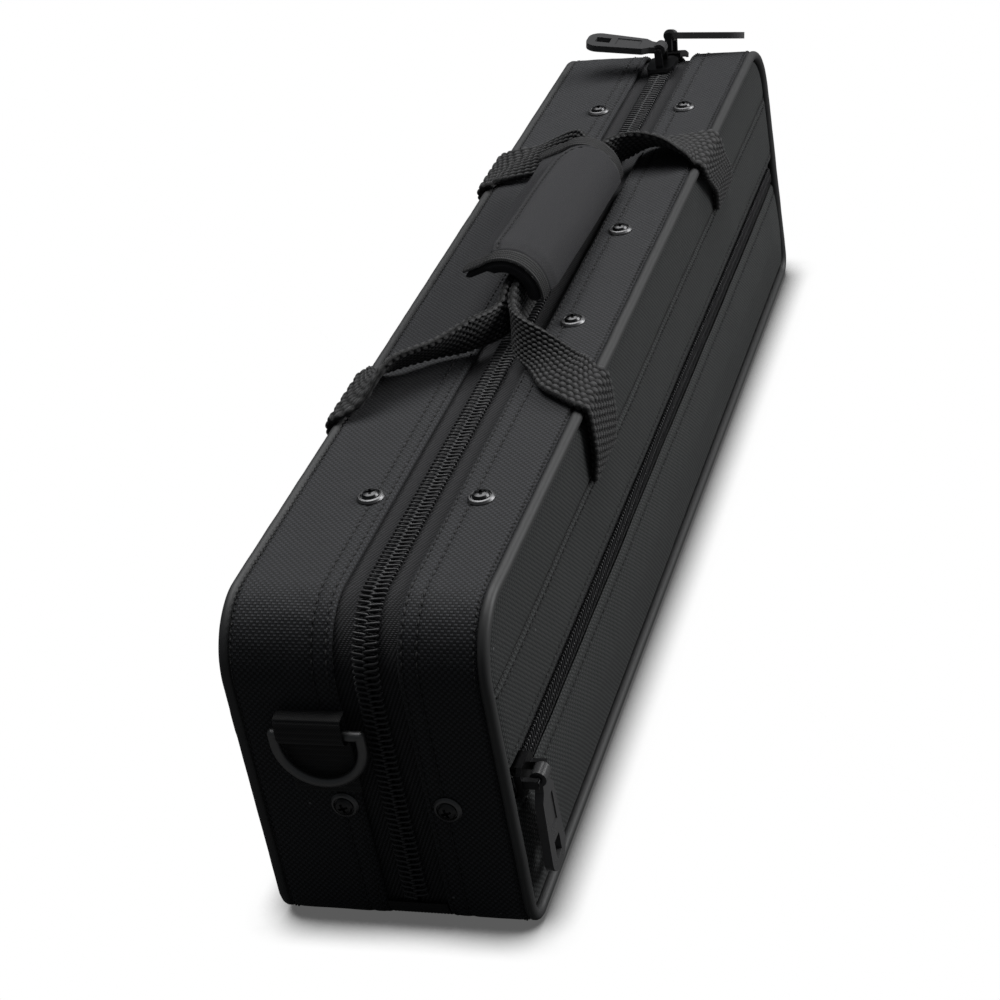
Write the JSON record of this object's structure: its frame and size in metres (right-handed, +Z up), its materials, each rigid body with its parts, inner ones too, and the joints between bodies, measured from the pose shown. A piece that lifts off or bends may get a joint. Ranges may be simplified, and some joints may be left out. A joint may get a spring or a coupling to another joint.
{
  "type": "flute case",
  "caption": "Zipped padded flute case with a fitted cradle, an outer pocket, web handles with a wrapped grip, and D-rings.",
  "frame": {"origin": "middle of the case's length and of the distance between its piping beads, on the flat that it stands on", "axes": "+X along the case towards the end where both main sliders wait, +Y towards the base half with the D-rings, +Z up; the lid half with the pocket is at -Y"},
  "size_m": [0.4358, 0.0889, 0.1301],
  "materials": {
    "base_shell": "moulded shell board",
    "base_wall_foam": "closed-cell foam",
    "base_gusset": "coated woven nylon",
    "base_face_cover": "coated woven nylon",
    "base_piping": "extruded bead",
    "base_zip_tape": "herringbone tape",
    "base_zip_coil": "nylon coil",
    "foam_cradle": "plush over foam",
    "base_screws": "black nickel",
    "base_cup_washers": "black nickel",
    "near_ring_tab": "ribbed web",
    "far_ring_tab": "ribbed web",
    "near_d_ring": "black nickel wire",
    "far_d_ring": "black nickel wire",
    "hinge_tape": "woven web",
    "lid_shell": "moulded shell board",
    "lid_wall_foam": "closed-cell foam",
    "lid_gusset": "coated woven nylon",
    "lid_piping": "extruded bead",
    "lid_zip_tape": "herringbone tape",
    "lid_zip_coil": "nylon coil",
    "lid_pad": "plush over foam",
    "lid_screws": "black nickel",
    "lid_cup_washers": "black nickel",
    "pocket_lining": "thin lining cloth",
    "pocket_top_panel": "ribbed woven cloth",
    "pocket_upper_panel": "ribbed woven cloth",
    "pocket_lower_panel": "ribbed woven cloth",
    "pocket_tape_upper": "herringbone tape",
    "pocket_tape_lower": "herringbone tape",
    "pocket_coil_upper": "nylon coil",
    "pocket_coil_lower": "nylon coil",
    "pocket_slider": "black lacquered zinc",
    "pocket_pull": "moulded pull",
    "main_slider_a": "black lacquered zinc",
    "main_pull_a": "moulded pull",
    "main_slider_b": "black lacquered zinc",
    "main_pull_b": "moulded pull",
    "base_strap": "basket-weave web",
    "lid_strap": "basket-weave web",
    "grip_wrap": "padded woven nylon",
    "grip_flap": "woven nylon",
    "grip_binding": "ribbed binding"
  },
  "bodies": {
    "base": {"base_shell": "base_shell", "base_wall_foam": "base_wall_foam", "base_gusset": "base_gusset", "base_face_cover": "base_face_cover", "base_piping": "base_piping", "base_zip_tape": "base_zip_tape", "base_zip_coil": "base_zip_coil", "foam_cradle": "foam_cradle", "base_screws": "base_screws", "base_cup_washers": "base_cup_washers", "near_ring_tab": "near_ring_tab", "far_ring_tab": "far_ring_tab", "hinge_tape": "hinge_tape"},
    "lid": {"lid_shell": "lid_shell", "lid_wall_foam": "lid_wall_foam", "lid_gusset": "lid_gusset", "lid_piping": "lid_piping", "lid_zip_tape": "lid_zip_tape", "lid_zip_coil": "lid_zip_coil", "lid_pad": "lid_pad", "lid_screws": "lid_screws", "lid_cup_washers": "lid_cup_washers", "pocket_lining": "pocket_lining", "pocket_top_panel": "pocket_top_panel", "pocket_upper_panel": "pocket_upper_panel", "pocket_lower_panel": "pocket_lower_panel", "pocket_tape_upper": "pocket_tape_upper", "pocket_tape_lower": "pocket_tape_lower", "pocket_coil_upper": "pocket_coil_upper", "pocket_coil_lower": "pocket_coil_lower"},
    "near_ring": {"near_d_ring": "near_d_ring"},
    "far_ring": {"far_d_ring": "far_d_ring"},
    "slider_a": {"main_slider_a": "main_slider_a"},
    "pull_a": {"main_pull_a": "main_pull_a"},
    "slider_b": {"main_slider_b": "main_slider_b"},
    "pull_b": {"main_pull_b": "main_pull_b"},
    "slider_p": {"pocket_slider": "pocket_slider"},
    "pull_p": {"pocket_pull": "pocket_pull"},
    "handle_base": {"base_strap": "base_strap"},
    "handle_lid": {"lid_strap": "lid_strap", "grip_wrap": "grip_wrap", "grip_flap": "grip_flap", "grip_binding": "grip_binding"}
  },
  "joints": [
    {"name": "lid_hinge", "type": "hinge", "parent": "base", "child": "lid", "pos_m": [0, -0.004, 0], "axis": [1, 0, 0], "range_deg": [0, 170], "deforming": ["hinge_tape"]},
    {"name": "near_ring_swing", "type": "hinge", "parent": "base", "child": "near_ring", "pos_m": [-0.215, 0.0128, 0.071], "axis": [0, 1, 0], "range_deg": [0, 150]},
    {"name": "far_ring_swing", "type": "hinge", "parent": "base", "child": "far_ring", "pos_m": [0.215, 0.0128, 0.071], "axis": [0, -1, 0], "range_deg": [0, 150]},
    {"name": "slider_a_run", "type": "slide", "parent": "base", "child": "slider_a", "axis": [-1, 0, 0], "range_m": [0, 0.07]},
    {"name": "pull_a_turn", "type": "hinge", "parent": "slider_a", "child": "pull_a", "pos_m": [0.1816, -0.004, 0.1138], "axis": [1, 0, 0], "range_deg": [-18, 155]},
    {"name": "slider_b_run", "type": "hinge", "parent": "base", "child": "slider_b", "pos_m": [0.19, -0.004, 0.084], "axis": [0, 1, 0], "range_deg": [0, 48]},
    {"name": "pull_b_turn", "type": "hinge", "parent": "slider_b", "child": "pull_b", "pos_m": [0.20068, -0.004, 0.11182], "axis": [-0.9336, 0, 0.3584], "range_deg": [-6, 155]},
    {"name": "slider_p_run", "type": "slide", "parent": "lid", "child": "slider_p", "axis": [1, 0, 0], "range_m": [0, 0.39]},
    {"name": "pull_p_turn", "type": "hinge", "parent": "slider_p", "child": "pull_p", "pos_m": [-0.199, -0.044, 0.0478], "axis": [-1, 0, 0], "range_deg": [0, 150]},
    {"name": "handle_lid_swing", "type": "hinge", "parent": "lid", "child": "handle_lid", "pos_m": [0, -0.0395, 0.0803], "axis": [1, 0, 0], "range_deg": [0, 100]},
    {"name": "handle_base_swing", "type": "hinge", "parent": "base", "child": "handle_base", "pos_m": [0, 0.0395, 0.0803], "axis": [-1, 0, 0], "range_deg": [0, 100]}
  ],
  "couplings": [
    {"joint": "handle_base_swing", "follows": "handle_lid_swing", "ratio": 1}
  ]
}
